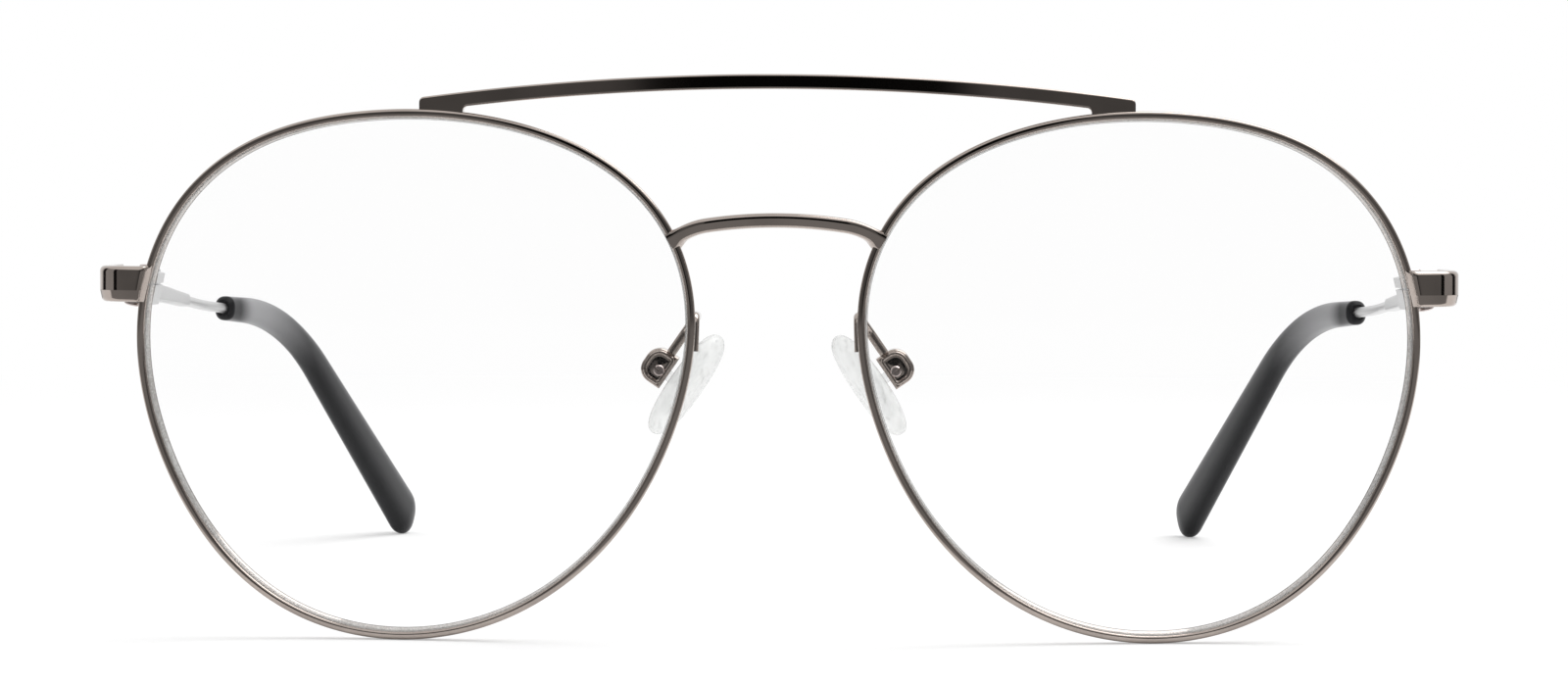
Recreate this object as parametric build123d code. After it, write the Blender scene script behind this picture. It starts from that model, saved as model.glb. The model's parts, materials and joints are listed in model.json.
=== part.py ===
from build123d import *
import math
import os

# Double bridge metal glasses, modelled in millimetres as they stand on a table: the lens rims and
# the temple tips touch the ground at Z = 0, the front faces -Y and the temples run back along +Y.
# "right" is the wearer's right side, at -X. Every paired piece is made on the right and mirrored.

# Lens: outline, curve and ground edge
lens_width = 54.8
lens_height = 51.7
nose_gap = 17.3
lens_curve_radius = 132.0
lens_thickness = 1.5
bevel_height = 0.45
bevel_half_width = 0.58
lens_blank_margin = 7.0
lens_blank_share = 0.78

# The outline's radius is 1 + sum(cosine_share * cos(k a) + sine_share * sin(k a)), k = 1, 2, 3 ...
# with the angle a counted from the nose side over the top.
outline_cosine_shares = (-0.0298, 0.0235, 0.0066, -0.0118, -0.0011, -0.0013, -0.0012)
outline_sine_shares = (0.0369, 0.0170, 0.0387, 0.0002, 0.0029, 0.0005, -0.0006)
outline_node_count = 12

# Rim wire
rim_wall = 0.35
rim_depth = 1.9
rim_edge_radius = 0.3
rim_lip_radius = 0.1
groove_clearance = 0.05

# Stance of the front
face_form_angle = 5.0
front_lean_angle = 4.0

# Rim locks, which clamp the rim round the lens
lock_angle = 162.3
lock_gap = 0.2
lock_height = 3.2
lock_drop = 0.5
lock_reach = 2.3
lock_front_step = 0.4
lock_back_depth = 1.6
lock_lip_setback = 0.05
lock_edge_radius = 0.25
lock_screw_radius = 0.5
lock_screw_head_radius = 0.85
lock_screw_head_height = 0.55
lock_screw_offset = 1.4
lock_screw_back = 1.2
screw_clearance = 0.03
screw_slot_width = 0.22
screw_slot_depth = 0.25

# End pieces, which carry the hinges: how far they stand out from the rim's split, and the length
# of the leg from the panel's corner to the hinge line
end_piece_reach = 5.05
end_piece_leg = 7.5
end_piece_height = 3.55
end_piece_thickness = 1.4
end_piece_bend_radius = 2.5
end_piece_edge_radius = 0.45
end_piece_cover = 1.2

# Hinges
hinge_inset = 3.9
knuckle_radius = 1.2
knuckle_gap = 0.05
front_knuckle_height = 0.9
temple_knuckle_height = 0.75
hinge_plate_length = 3.2
hinge_plate_thickness = 0.8
hinge_plate_setback = 0.35
hinge_swing_clearance = 0.1
hinge_butt_gap = 0.08
hinge_screw_radius = 0.6
hinge_screw_head_radius = 0.95
hinge_screw_head_height = 0.45
hinge_screw_tail = 0.3

# Temples
temple_slope_angle = 4.15
temple_front_height = 3.5
temple_back_height = 1.42
temple_leaf_bow = 0.23
temple_leaf_length = 44.5
temple_leaf_edge_radius = 0.3
temple_wire_radius = 0.58
temple_bend_distance = 62.6
temple_bend_angle = 15.7
temple_bend_radius = 60.0
ear_bend_distance = 22.4
ear_bend_angle = 31.5
ear_bend_radius = 42.0
core_end_setback = 9.0

# Temple tips
tip_start_distance = 66.5
tip_front_height = 2.8
tip_bend_height = 3.4
tip_end_height = 6.0
tip_front_thickness = 2.4
tip_end_thickness = 3.0
tip_mouth_length = 0.9
tip_mouth_shares = ((0, 0.62, 0.72), (0.33, 0.86, 0.9), (1, 1, 1))
tip_bend_share = 0.35
tip_round_length = 3.6
tip_round_shares = (0, 0.35, 0.62, 0.82, 0.94, 0.985)
tip_corner_share = 0.49
tip_core_clearance = 0.03
tip_trial_length = 48.0
tip_span_count = 16

# Brow bar
brow_bar_height = 1.45
brow_bar_depth = 1.7
brow_bar_edge_radius = 0.25
brow_bar_rise = 3.35
brow_bar_sag = 2.35
brow_bar_bow = 1.6
brow_bar_end_inset = 0.9
brow_foot_width = 4.3
brow_foot_root = 1.0

# Nose bridge
bridge_height = 1.45
bridge_depth = 1.7
bridge_edge_radius = 0.4
bridge_rise = 15.45
bridge_bow = 1.1
bridge_shoulder_setback = 0.3
bridge_end_reach = 1.9
bridge_end_drop = 2.0
bridge_end_back = 1.1
bridge_bend_radius = 5.0

# Nose pads: the box with its screw, the arm, the core and the soft pad
pad_screw_inset = 3.15
pad_screw_depth = 8.6
pad_screw_rise = 0.57
pad_tilt_angle = 34.5
pad_splay_angle = 12.0
box_nose_side = 1.0
box_outer_radius = 1.85
box_top = 2.1
box_bottom = 1.55
box_depth = 3.0
box_corner_share = 0.4
box_wall = 0.55
box_edge_radius = 0.3
pad_screw_radius = 0.4
pad_screw_head_radius = 0.55
pad_screw_head_height = 0.3
lug_radius = 0.85
lug_side_clearance = 0.1
lug_neck_height = 1.0
core_plate_length = 7.4
core_plate_width = 3.6
core_plate_thickness = 0.6
core_plate_edge_radius = 1.2
pad_length = 11.8
pad_width = 7.4
pad_thickness = 2.7
pad_edge_radius = 1.15
pad_corner_share = 0.47
pad_box_gap = 0.7
pad_core_cover = 0.75
pad_rise = 0.3
arm_radius = 0.48
arm_root_proud = 0.5
arm_root_depth = 1.5
arm_root_rise = 2.7
arm_loop_proud = 0.6
arm_loop_depth = 1.7
arm_loop_rise = 6.1
arm_crest_length = 6.6
arm_crest_setback = 1.4
arm_entry_length = 4.6
arm_bend_radius = 0.9

# General
cut_overrun = 1.0


# Outline of the lens

def raw_outline(angle):
    """Point of the unit outline at an angle in degrees."""
    turn = math.radians(angle)
    share = 1.0
    for order, (cosine, sine) in enumerate(zip(outline_cosine_shares, outline_sine_shares), start=1):
        share += cosine * math.cos(order * turn) + sine * math.sin(order * turn)
    return share * math.cos(turn), share * math.sin(turn)


raw_points = [raw_outline(angle / 2) for angle in range(720)]
raw_left = min(x for x, z in raw_points)
raw_right = max(x for x, z in raw_points)
raw_low = min(z for x, z in raw_points)
raw_high = max(z for x, z in raw_points)


def outline_point(angle):
    """Point of the lens outline seen from the front, with the lens centre at zero."""
    x, z = raw_outline(angle)
    across = (x - (raw_left + raw_right) / 2) / (raw_right - raw_left)
    up = (z - (raw_low + raw_high) / 2) / (raw_high - raw_low)
    return across * lens_width, up * lens_height


# The lens lies on a sphere. Its middle surface touches the origin of the lens frame, and the
# sphere's centre is behind it on +Y. Circles of the sphere are circles of the flat stereographic
# map too, so tangent arcs are worked out on the map and carried back.

curve_centre = Vector(0, lens_curve_radius, 0)


def on_sphere(x, z):
    return Vector(x, lens_curve_radius - math.sqrt(lens_curve_radius**2 - x * x - z * z), z)


def to_map(point):
    scale = 2 * lens_curve_radius / (2 * lens_curve_radius - point.Y)
    return Vector(point.X * scale, point.Z * scale)


def from_map(spot):
    share = 4 * lens_curve_radius**2 / (4 * lens_curve_radius**2 + spot.X**2 + spot.Y**2)
    return Vector(share * spot.X, 2 * lens_curve_radius * (1 - share), share * spot.Y)


def map_node(angle):
    """Place and direction of the outline on the map."""
    step = 0.01
    before = to_map(on_sphere(*outline_point(angle - step)))
    after = to_map(on_sphere(*outline_point(angle + step)))
    return to_map(on_sphere(*outline_point(angle))), (after - before).normalized()


def arc_on_sphere(start, direction, end):
    """Start point, turning axis and angle of the arc that leaves start along direction."""
    chord = end - start
    turn = math.atan2(direction.X * chord.Y - direction.Y * chord.X, direction.dot(chord))
    side = Vector(chord.Y, -chord.X) * (0.5 * math.tan(turn / 2))
    middle = (start + end) * 0.5 + side
    first, second, third = from_map(start), from_map(middle), from_map(end)
    axis = (second - first).cross(third - second).normalized()
    hub = curve_centre + axis * (first - curve_centre).dot(axis)
    across = (first - hub).cross(third - hub).dot(axis)
    along = (first - hub).dot(third - hub)
    return first, axis, math.degrees(math.atan2(across, along))


def outline_arcs():
    """Tangent arcs round the lens, two for each pair of nodes."""
    arcs = []
    for index in range(outline_node_count):
        start, leave = map_node(lock_angle + 360 * index / outline_node_count)
        end, arrive = map_node(lock_angle + 360 * (index + 1) / outline_node_count)
        chord = end - start
        along = chord.dot(leave + arrive)
        spread = 2 * (1 - leave.dot(arrive))
        reach = (math.sqrt(along**2 + spread * chord.dot(chord)) - along) / spread
        joint = (start + leave * reach + end - arrive * reach) * 0.5
        middle_direction = (end - arrive * reach - start - leave * reach).normalized()
        arcs.append(arc_on_sphere(start, leave, joint))
        arcs.append(arc_on_sphere(joint, middle_direction, end))
    return arcs


def edge_plane(point, axis):
    """Plane across the rim: x outwards in the lens surface, y forwards, square to the surface."""
    forward = (point - curve_centre).normalized()
    tangent = axis.cross(point - curve_centre).normalized()
    return Plane(origin=point, x_dir=tangent.cross(forward), z_dir=tangent * -1)


def ring(profile):
    """Carry a profile round the whole outline."""
    pieces = []
    for point, axis, sweep in outline_arcs():
        face = edge_plane(point, axis) * profile
        pieces.append(revolve(face, axis=Axis(curve_centre, axis), revolution_arc=sweep).solid())
    return pieces[0].fuse(*pieces[1:]).solid()


# Profiles round the rim. Zero is the tip of the lens bevel.

rim_inner = groove_clearance - bevel_height
rim_outer = groove_clearance + rim_wall
half_rim = rim_depth / 2
half_lens = lens_thickness / 2


def rounded_profile(points, corners, radius):
    """Closed profile with the corners nearest to the given points rounded."""
    face = make_face(Polyline(*points, close=True))
    picked = [face.vertices().sort_by_distance(Vector(*corner))[0] for corner in corners]
    return fillet(picked, radius)


def rim_profile():
    groove_half = (groove_clearance - rim_inner) * bevel_half_width / bevel_height
    points = [
        (rim_inner, -half_rim),
        (rim_outer, -half_rim),
        (rim_outer, half_rim),
        (rim_inner, half_rim),
        (rim_inner, groove_half),
        (groove_clearance, 0),
        (rim_inner, -groove_half),
    ]
    face = rounded_profile(points, (points[1], points[2]), rim_edge_radius)
    lips = [face.vertices().sort_by_distance(Vector(*corner))[0] for corner in (points[0], points[3])]
    return fillet(lips, rim_lip_radius)


def envelope_profile():
    """The rim's outer sides, filled inwards, to shape what is soldered on the rim."""
    points = [
        (rim_inner - lens_blank_margin / 2, -half_rim),
        (rim_outer, -half_rim),
        (rim_outer, half_rim),
        (rim_inner - lens_blank_margin / 2, half_rim),
    ]
    return rounded_profile(points, (points[1], points[2]), rim_edge_radius)


def lens_cutter_profile():
    deep = half_lens + cut_overrun
    return make_face(
        Polyline(
            (-bevel_height, deep),
            (-bevel_height, bevel_half_width),
            (0, 0),
            (-bevel_height, -bevel_half_width),
            (-bevel_height, -deep),
            (lens_blank_margin, -deep),
            (lens_blank_margin, deep),
            close=True,
        )
    )


def opening_cutter_profile():
    """Everything inside the rim's lip, near the rim."""
    deep = rim_depth + end_piece_thickness
    return make_face(
        Polyline(
            (rim_inner, -deep),
            (rim_inner, deep),
            (rim_inner - lens_blank_margin / 2, deep),
            (rim_inner - lens_blank_margin / 2, -deep),
            close=True,
        )
    )


def lens_blank():
    """Round cut from the two spheres of the lens."""
    reach = math.hypot(lens_width, lens_height) / 2
    angle = math.asin(reach * lens_blank_share / lens_curve_radius)
    front = lens_curve_radius + half_lens
    back = lens_curve_radius - half_lens

    def place(radius, turn):
        return (radius * math.sin(turn), lens_curve_radius - radius * math.cos(turn))

    section = make_face(
        Wire(
            [
                Edge.make_line(place(back, 0), place(front, 0)),
                Edge.make_three_point_arc(place(front, 0), place(front, angle / 2), place(front, angle)),
                Edge.make_line(place(front, angle), place(back, angle)),
                Edge.make_three_point_arc(place(back, angle), place(back, angle / 2), place(back, 0)),
            ]
        )
    )
    return revolve(section, axis=Axis.Y, revolution_arc=360).solid()


# Rim and lens in the lens frame

lock_point, lock_axis, _ = outline_arcs()[0]
lock_plane = edge_plane(lock_point, lock_axis)

whole_rim = ring(rim_profile())
rim_envelope_local = ring(envelope_profile())
opening_local = ring(opening_cutter_profile())
gap_cutter = lock_plane * Box(4 * rim_outer + 4 * rim_wall, 2 * rim_depth, lock_gap)
rim_local = (whole_rim - gap_cutter).solid()
lens_local = (lens_blank() - ring(lens_cutter_profile())).solid()

# Standing height: the rims touch the ground
eye_spread = nose_gap / 2 + lens_width / 2 * math.cos(math.radians(face_form_angle))
front_lean = Location((0, 0, 0), (front_lean_angle, 0, 0))
eye_turn = Location((-eye_spread, 0, 0), (0, 0, -face_form_angle))
eye_height = -(front_lean * eye_turn * rim_local).bounding_box().min.Z
front_place = Location((0, 0, eye_height), (front_lean_angle, 0, 0))
eye_place = front_place * eye_turn

right_rim = eye_place * rim_local
right_lens = eye_place * lens_local
rim_envelope = eye_place * rim_envelope_local
rim_opening = eye_place * opening_local


def placed(location, vector):
    return (location * Location(vector)).position


lock_place = placed(eye_place, lock_point)

parts = {}


def keep_pair(name, shape):
    """Keep the right piece and its mirror image."""
    parts["right_" + name] = shape
    parts["left_" + name] = mirror(shape, about=Plane.YZ)


def turned_screw(shank_radius, shank_length, head_radius, head_height):
    """Cheese head screw: its shank runs up from the origin and its slotted head is below."""
    shank = Pos(0, 0, shank_length / 2) * Cylinder(shank_radius, shank_length)
    head = Pos(0, 0, -head_height / 2) * Cylinder(head_radius, head_height)
    head = chamfer(head.edges().group_by(Axis.Z)[0], screw_slot_depth / 2)
    slot = Pos(0, 0, screw_slot_depth / 2 - head_height) * Box(
        2 * head_radius + cut_overrun, screw_slot_width, screw_slot_depth
    )
    return (shank + head - slot).solid()


# Rim locks

lock_frame = Plane(eye_place * Location(lock_plane))
lock_inner = rim_inner + lock_lip_setback
lock_outer = rim_outer + lock_reach
lock_back = -half_rim - lock_back_depth
lock_front = half_rim - lock_front_step


def lock_block():
    """Block beside and behind the rim, before it is split."""
    centre_x = (lock_inner + lock_outer) / 2
    centre_y = (lock_front + lock_back) / 2
    size = (lock_outer - lock_inner, lock_front - lock_back, lock_height)
    block = Pos(centre_x, centre_y, -lock_drop) * Box(*size)
    uprights = block.edges().filter_by(Axis.Z).group_by(Axis.X)[-1]
    block = fillet(uprights, lock_edge_radius)
    bore = Pos(lock_screw_offset + rim_outer, -lock_screw_back, -lock_drop) * Cylinder(
        lock_screw_radius + screw_clearance, lock_height + cut_overrun
    )
    return lock_frame * (block - bore) - rim_envelope


def half_space(side):
    """Box above or below the split of the rim lock."""
    tall = lock_height + lock_drop + cut_overrun
    wide = 4 * (lock_outer + lock_back_depth)
    return lock_frame * (Pos(0, 0, side * (lock_gap / 2 + tall / 2)) * Box(wide, wide, tall))


lock_blocks = lock_block()
right_lock_upper = (lock_blocks & half_space(1)).solids().sort_by(SortBy.VOLUME)[-1]
right_lock_lower = (lock_blocks & half_space(-1)).solids().sort_by(SortBy.VOLUME)[-1]
lock_screw_place = Pos(lock_screw_offset + rim_outer, -lock_screw_back, -lock_height / 2 - lock_drop)
right_lock_screw = lock_frame * (
    lock_screw_place
    * turned_screw(lock_screw_radius, lock_height, lock_screw_head_radius, lock_screw_head_height)
)

# End piece: a panel over the rim and the lock, bent back to the hinge

panel_forward = Vector(lock_frame.y_dir.X, lock_frame.y_dir.Y, 0).normalized()
panel_outward = Vector(panel_forward.Y, -panel_forward.X, 0)
panel_lift = half_rim + end_piece_thickness / 2
panel_start = lock_place + panel_forward * panel_lift - panel_outward * end_piece_cover
frame_side = lock_place.X - end_piece_reach
leg_x = frame_side + end_piece_thickness / 2
panel_run = (leg_x - panel_start.X) / panel_outward.X
panel_corner = panel_start + panel_outward * panel_run
hinge_place = Vector(frame_side + hinge_inset, panel_corner.Y + end_piece_leg, lock_place.Z)
leg_end = Vector(leg_x, hinge_place.Y + cut_overrun, hinge_place.Z)


def strip_section(thickness, height, outer_radius):
    """Section of the end piece, rounded on its outer side only (+X)."""
    face = Rectangle(thickness, height)
    outer = face.vertices().group_by(Axis.X)[-1]
    return fillet(outer, outer_radius)


end_path = FilletPolyline(
    panel_start, panel_corner, leg_end, radius=end_piece_bend_radius - end_piece_thickness / 2
)
end_section_plane = Plane(origin=panel_start, x_dir=panel_forward, z_dir=panel_outward)
end_section = end_section_plane * strip_section(end_piece_thickness, end_piece_height, end_piece_edge_radius)
end_bar = sweep(end_section, path=end_path)

hinge_frame = Plane(Location(hinge_place, (-temple_slope_angle, 0, 0)))
far = lens_width
behind_hinge = hinge_frame * (Pos(0, far / 2 - hinge_butt_gap / 2, 0) * Box(far, far, far))
right_end_piece = (end_bar - rim_envelope - rim_opening - behind_hinge).solids().sort_by(SortBy.VOLUME)[-1]

# Hinge: one knuckle on the end piece between two on the temple

plate_outer = end_piece_thickness - hinge_inset
plate_inner = plate_outer + hinge_plate_thickness
barrel_height = front_knuckle_height + 2 * (temple_knuckle_height + knuckle_gap)


def hinge_leaf(levels, side):
    """Plate on the leaf's inner face with a web and a knuckle at each level (low, high)."""
    plate_start = knuckle_radius + hinge_swing_clearance
    plate_middle = side * (plate_start + hinge_plate_length / 2)
    plate_centre = Pos((plate_outer + plate_inner) / 2, plate_middle, 0)
    shape = plate_centre * Box(hinge_plate_thickness, hinge_plate_length, barrel_height)
    for low, high in levels:
        level = Pos(0, 0, (low + high) / 2)
        web = Polyline(
            (plate_outer + hinge_plate_setback, side * (plate_start + hinge_plate_thickness)),
            (plate_outer + hinge_plate_setback, 0),
            (0, -side * hinge_swing_clearance),
            (0, side * knuckle_radius),
            (plate_inner, side * (plate_start + hinge_plate_thickness)),
            close=True,
        )
        shape = shape + level * extrude(make_face(web), (high - low) / 2, both=True)
        shape = shape + level * Cylinder(knuckle_radius, high - low)
    bore = Cylinder(hinge_screw_radius + screw_clearance, barrel_height + cut_overrun)
    return (shape - bore).solid()


half_front = front_knuckle_height / 2
half_barrel = barrel_height / 2
front_levels = [(-half_front, half_front)]
temple_levels = [(half_front + knuckle_gap, half_barrel), (-half_barrel, -half_front - knuckle_gap)]
right_front_hinge = hinge_frame * hinge_leaf(front_levels, -1)
right_temple_hinge = hinge_frame * hinge_leaf(temple_levels, 1)
hinge_screw = turned_screw(
    hinge_screw_radius, barrel_height + hinge_screw_tail, hinge_screw_head_radius, hinge_screw_head_height
)
screw_flip = Pos(0, 0, half_barrel + knuckle_gap / 2) * Rotation(180, 0, 0)
right_hinge_screw = hinge_frame * (screw_flip * hinge_screw)

# Temple: a flat leaf that tapers to a wire, which runs on inside the tip

leaf_x = end_piece_thickness / 2 - hinge_inset
bend = math.radians(temple_bend_angle)
drop = math.radians(ear_bend_angle)
ear_direction = Vector(math.sin(bend), math.cos(bend), 0)
tip_direction = Vector(math.sin(bend) * math.cos(drop), math.cos(bend) * math.cos(drop), -math.sin(drop))
bend_corner = Vector(leaf_x, temple_bend_distance, 0)
ear_corner = bend_corner + ear_direction * ear_bend_distance
wire_start = temple_leaf_length - cut_overrun


def temple_path(last_length):
    """Centre line of the temple's wire, from inside the leaf to a length past the ear bend."""
    return FilletPolyline(
        Vector(leaf_x, wire_start, 0),
        bend_corner,
        ear_corner,
        ear_corner + tip_direction * last_length,
        radius=(temple_bend_radius, ear_bend_radius),
    )


def temple_leaf():
    """Side profile with gently hollow edges, cut to the thickness of the end piece."""
    front = hinge_butt_gap / 2
    back = front + temple_leaf_length
    middle = (front + back) / 2
    middle_half = (temple_front_height + temple_back_height) / 4 - temple_leaf_bow
    top = ThreePointArc(
        (front, temple_front_height / 2), (middle, middle_half), (back, temple_back_height / 2)
    )
    bottom = ThreePointArc(
        (back, -temple_back_height / 2), (middle, -middle_half), (front, -temple_front_height / 2)
    )
    outline = Wire(
        [
            top.edge(),
            Edge.make_line(top @ 1, bottom @ 0),
            bottom.edge(),
            Edge.make_line(bottom @ 1, top @ 0),
        ]
    )
    side_plane = Plane(origin=(leaf_x, 0, 0), x_dir=(0, 1, 0), z_dir=(1, 0, 0))
    leaf = extrude(side_plane * make_face(outline), end_piece_thickness / 2, both=True)
    long_edges = leaf.edges().filter_by(GeomType.CIRCLE)
    return fillet(long_edges, temple_leaf_edge_radius)


def swept_wire(path, radius):
    return sweep(Plane(origin=path @ 0, z_dir=path % 0) * Circle(radius), path=path)


# Tip: an oval sleeve that grows towards its rounded end

def blend_value(start, end, share):
    return start + (end - start) * share


def tip_section(path, distance, height, thickness):
    """Oval across the path, upright in the plane of the ear bend."""
    share = distance / path.length
    tangent = path % share
    across = Vector(tangent.Y, -tangent.X, 0).normalized()
    plane = Plane(origin=path @ share, x_dir=across, z_dir=tangent)
    radius = min(height, thickness) * tip_corner_share
    return (plane * RectangleRounded(thickness, height, radius)).face()


def temple_tip(last_length):
    path = temple_path(last_length)
    mouth = tip_start_distance - wire_start
    length = path.length - mouth
    straight_end = length - tip_round_length
    stations = [(tip_mouth_length * share, tall, wide) for share, tall, wide in tip_mouth_shares]
    for step in range(1, tip_span_count):
        stations.append((straight_end * step / tip_span_count, 1, 1))
    for share in tip_round_shares:
        shrink = math.sqrt(1 - share**2)
        stations.append((straight_end + tip_round_length * share, shrink, shrink))
    sections = []
    for distance, tall, wide in stations:
        share = distance / length
        if share < tip_bend_share:
            height = blend_value(tip_front_height, tip_bend_height, share / tip_bend_share)
        else:
            past_bend = (share - tip_bend_share) / (1 - tip_bend_share)
            height = blend_value(tip_bend_height, tip_end_height, past_bend)
        thickness = blend_value(tip_front_thickness, tip_end_thickness, share)
        sections.append(tip_section(path, mouth + distance, height * tall, thickness * wide))
    return loft(sections, ruled=True).solid()


def lowest_point(shape):
    return (hinge_frame.location * shape).bounding_box().min.Z


# The tip is as long as it takes for both tips and both rims to touch the ground
slope = math.radians(temple_slope_angle)
ground_fall = math.sin(drop) * math.cos(slope) + math.cos(bend) * math.cos(drop) * math.sin(slope)
tip_length = tip_trial_length + lowest_point(temple_tip(tip_trial_length)) / ground_fall

tip_body = temple_tip(tip_length)
bore = swept_wire(temple_path(tip_length - core_end_setback), temple_wire_radius + tip_core_clearance)
right_temple_tip = hinge_frame.location * (tip_body - bore).solid()

temple_wire = swept_wire(temple_path(tip_length - core_end_setback - tip_core_clearance), temple_wire_radius)
right_temple = hinge_frame.location * (temple_leaf() + temple_wire).solid()

# Brow bar: a bowed strip with a foot at each end on the rims

brow_middle_height = eye_height + lens_height / 2 + brow_bar_rise
brow_end_height = brow_middle_height - brow_bar_sag
brow_half_length = eye_spread - brow_bar_end_inset
rim_top = placed(eye_place, on_sphere(0, lens_height / 2))
brow_path = ThreePointArc(
    (-brow_half_length, rim_top.Y, brow_end_height),
    (0, rim_top.Y - brow_bar_bow, brow_middle_height),
    (brow_half_length, rim_top.Y, brow_end_height),
)
brow_section = RectangleRounded(brow_bar_height, brow_bar_depth, brow_bar_edge_radius)
brow_start = Plane(origin=brow_path @ 0, x_dir=(0, 0, 1), z_dir=brow_path % 0)
brow_strip = sweep(brow_start * brow_section, path=brow_path)


def brow_foot():
    """Filled corner between the bar's end and the rim below it."""
    low = rim_top.Z - brow_foot_root
    high = brow_end_height
    centre_x = brow_foot_width / 2 - brow_half_length + brow_bar_edge_radius
    return Pos(centre_x, rim_top.Y, (low + high) / 2) * Box(
        brow_foot_width - brow_bar_edge_radius, brow_bar_depth - 2 * brow_bar_edge_radius, high - low
    )


feet = brow_foot() + mirror(brow_foot(), about=Plane.YZ)
left_envelope = mirror(rim_envelope, about=Plane.YZ)
brow_bar = (brow_strip + feet - rim_envelope - left_envelope).solids().sort_by(SortBy.VOLUME)[-1]
parts["brow_bar"] = brow_bar

# Nose bridge: a shallow bar whose ends turn down onto the rims

bridge_top = eye_height + bridge_rise
bridge_shoulder = nose_gap / 2 - bridge_shoulder_setback
bridge_end = nose_gap / 2 + bridge_end_reach
bridge_path = FilletPolyline(
    (-bridge_end, bridge_end_back - bridge_bow, bridge_top - bridge_end_drop),
    (-bridge_shoulder, -bridge_bow, bridge_top),
    (bridge_shoulder, -bridge_bow, bridge_top),
    (bridge_end, bridge_end_back - bridge_bow, bridge_top - bridge_end_drop),
    radius=bridge_bend_radius,
)
bridge_section = RectangleRounded(bridge_height, bridge_depth, bridge_edge_radius)
bridge_start = Plane(origin=bridge_path @ 0, x_dir=(0, 0, 1), z_dir=bridge_path % 0)
bridge_bar = sweep(bridge_start * bridge_section, path=bridge_path)
nose_bridge = (bridge_bar - rim_envelope - left_envelope).solids().sort_by(SortBy.VOLUME)[-1]
parts["nose_bridge"] = nose_bridge

# Nose pad frame: x towards the nose, y backwards, z along the pad

pad_screw_place = (-nose_gap / 2 - pad_screw_inset, pad_screw_depth, eye_height + pad_screw_rise)
pad_turn = Location(pad_screw_place, (0, pad_tilt_angle, 0))


def pad_box():
    """Cup with a flat open side towards the nose and a rounded back."""
    height = box_top + box_bottom
    middle = (box_top - box_bottom) / 2
    outline = Pos((box_nose_side - box_outer_radius) / 2, middle) * Rectangle(
        box_nose_side + box_outer_radius, height
    )
    outline = fillet(outline.vertices().group_by(Axis.X)[0], height * box_corner_share)
    flat = Plane(origin=(0, 0, 0), x_dir=(1, 0, 0), z_dir=(0, -1, 0))
    body = extrude(flat * outline, box_depth / 2, both=True)
    sides = body.faces().sort_by(Axis.Y)
    body = fillet(sides[0].edges() + sides[-1].edges(), box_edge_radius)
    cavity_width = box_depth - 2 * box_wall
    cavity = Pos(box_wall / 2 + cut_overrun / 2, 0, middle) * Box(
        box_nose_side + box_outer_radius - box_wall + cut_overrun, cavity_width, height - 2 * box_wall
    )
    cavity = Pos((box_nose_side - box_outer_radius) / 2, 0, 0) * cavity
    screw_bore = Rotation(90, 0, 0) * Cylinder(pad_screw_radius + screw_clearance, box_depth + cut_overrun)
    return (body - cavity - screw_bore).solid()


right_pad_box = pad_turn * pad_box()
pad_screw = turned_screw(
    pad_screw_radius, box_depth, pad_screw_head_radius, pad_screw_head_height
)
pad_screw_turn = Pos(0, -box_depth / 2, 0) * Rotation(-90, 0, 0)
right_pad_screw = pad_turn * (pad_screw_turn * pad_screw)

# Pad core: a lug in the box, a neck and a plate inside the soft pad

pad_back = box_nose_side + pad_box_gap
plate_centre = pad_back + pad_core_cover + core_plate_thickness / 2
lug_width = box_depth - 2 * box_wall - 2 * lug_side_clearance
pad_face_turn = Pos(plate_centre, 0, pad_rise) * Rotation(0, 0, -pad_splay_angle)


def pad_core():
    lug = Rotation(90, 0, 0) * Cylinder(lug_radius, lug_width)
    neck = Pos(plate_centre / 2, 0, 0) * Box(plate_centre, lug_width, lug_neck_height)
    plate = RectangleRounded(core_plate_width, core_plate_length, core_plate_edge_radius)
    plate_plane = Plane(origin=(0, 0, 0), x_dir=(0, 1, 0), z_dir=(1, 0, 0))
    plate_solid = pad_face_turn * extrude(plate_plane * plate, core_plate_thickness / 2, both=True)
    bore = Rotation(90, 0, 0) * Cylinder(pad_screw_radius + screw_clearance, box_depth)
    return (lug + neck + plate_solid - bore).solid()


def soft_pad():
    """Pillow with an oval outline round the core's plate."""
    outline = RectangleRounded(pad_width, pad_length, pad_width * pad_corner_share)
    plate_plane = Plane(origin=(0, 0, 0), x_dir=(0, 1, 0), z_dir=(1, 0, 0))
    body = extrude(plate_plane * outline, pad_thickness / 2, both=True)
    sides = body.faces().sort_by(Axis.X)
    body = fillet(sides[0].edges() + sides[-1].edges(), pad_edge_radius)
    forward = pad_thickness / 2 - pad_core_cover - core_plate_thickness / 2
    return pad_face_turn * (Pos(forward, 0, 0) * body) - pad_core()


right_pad_core = pad_turn * pad_core()
right_nose_pad = pad_turn * soft_pad().solids().sort_by(SortBy.VOLUME)[-1]

# Pad arm: soldered behind the rim, up, back over a crest and down along the pad's line to the box

arm_crest = placed(pad_turn, Vector(0, -arm_crest_setback, arm_crest_length))
arm_entry = placed(pad_turn, Vector(0, 0, arm_entry_length))
arm_foot = placed(pad_turn, Vector(0, 0, box_top - box_wall / 2))
nasal_side = -nose_gap / 2
arm_path = FilletPolyline(
    (nasal_side + arm_root_proud, arm_root_depth, eye_height + arm_root_rise),
    (nasal_side + arm_loop_proud, arm_loop_depth, eye_height + arm_loop_rise),
    arm_crest,
    arm_entry,
    arm_foot,
    radius=arm_bend_radius,
)
arm_wire = swept_wire(arm_path, arm_radius)
right_pad_arm = (arm_wire - rim_envelope - right_pad_box).solids().sort_by(SortBy.VOLUME)[-1]

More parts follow.
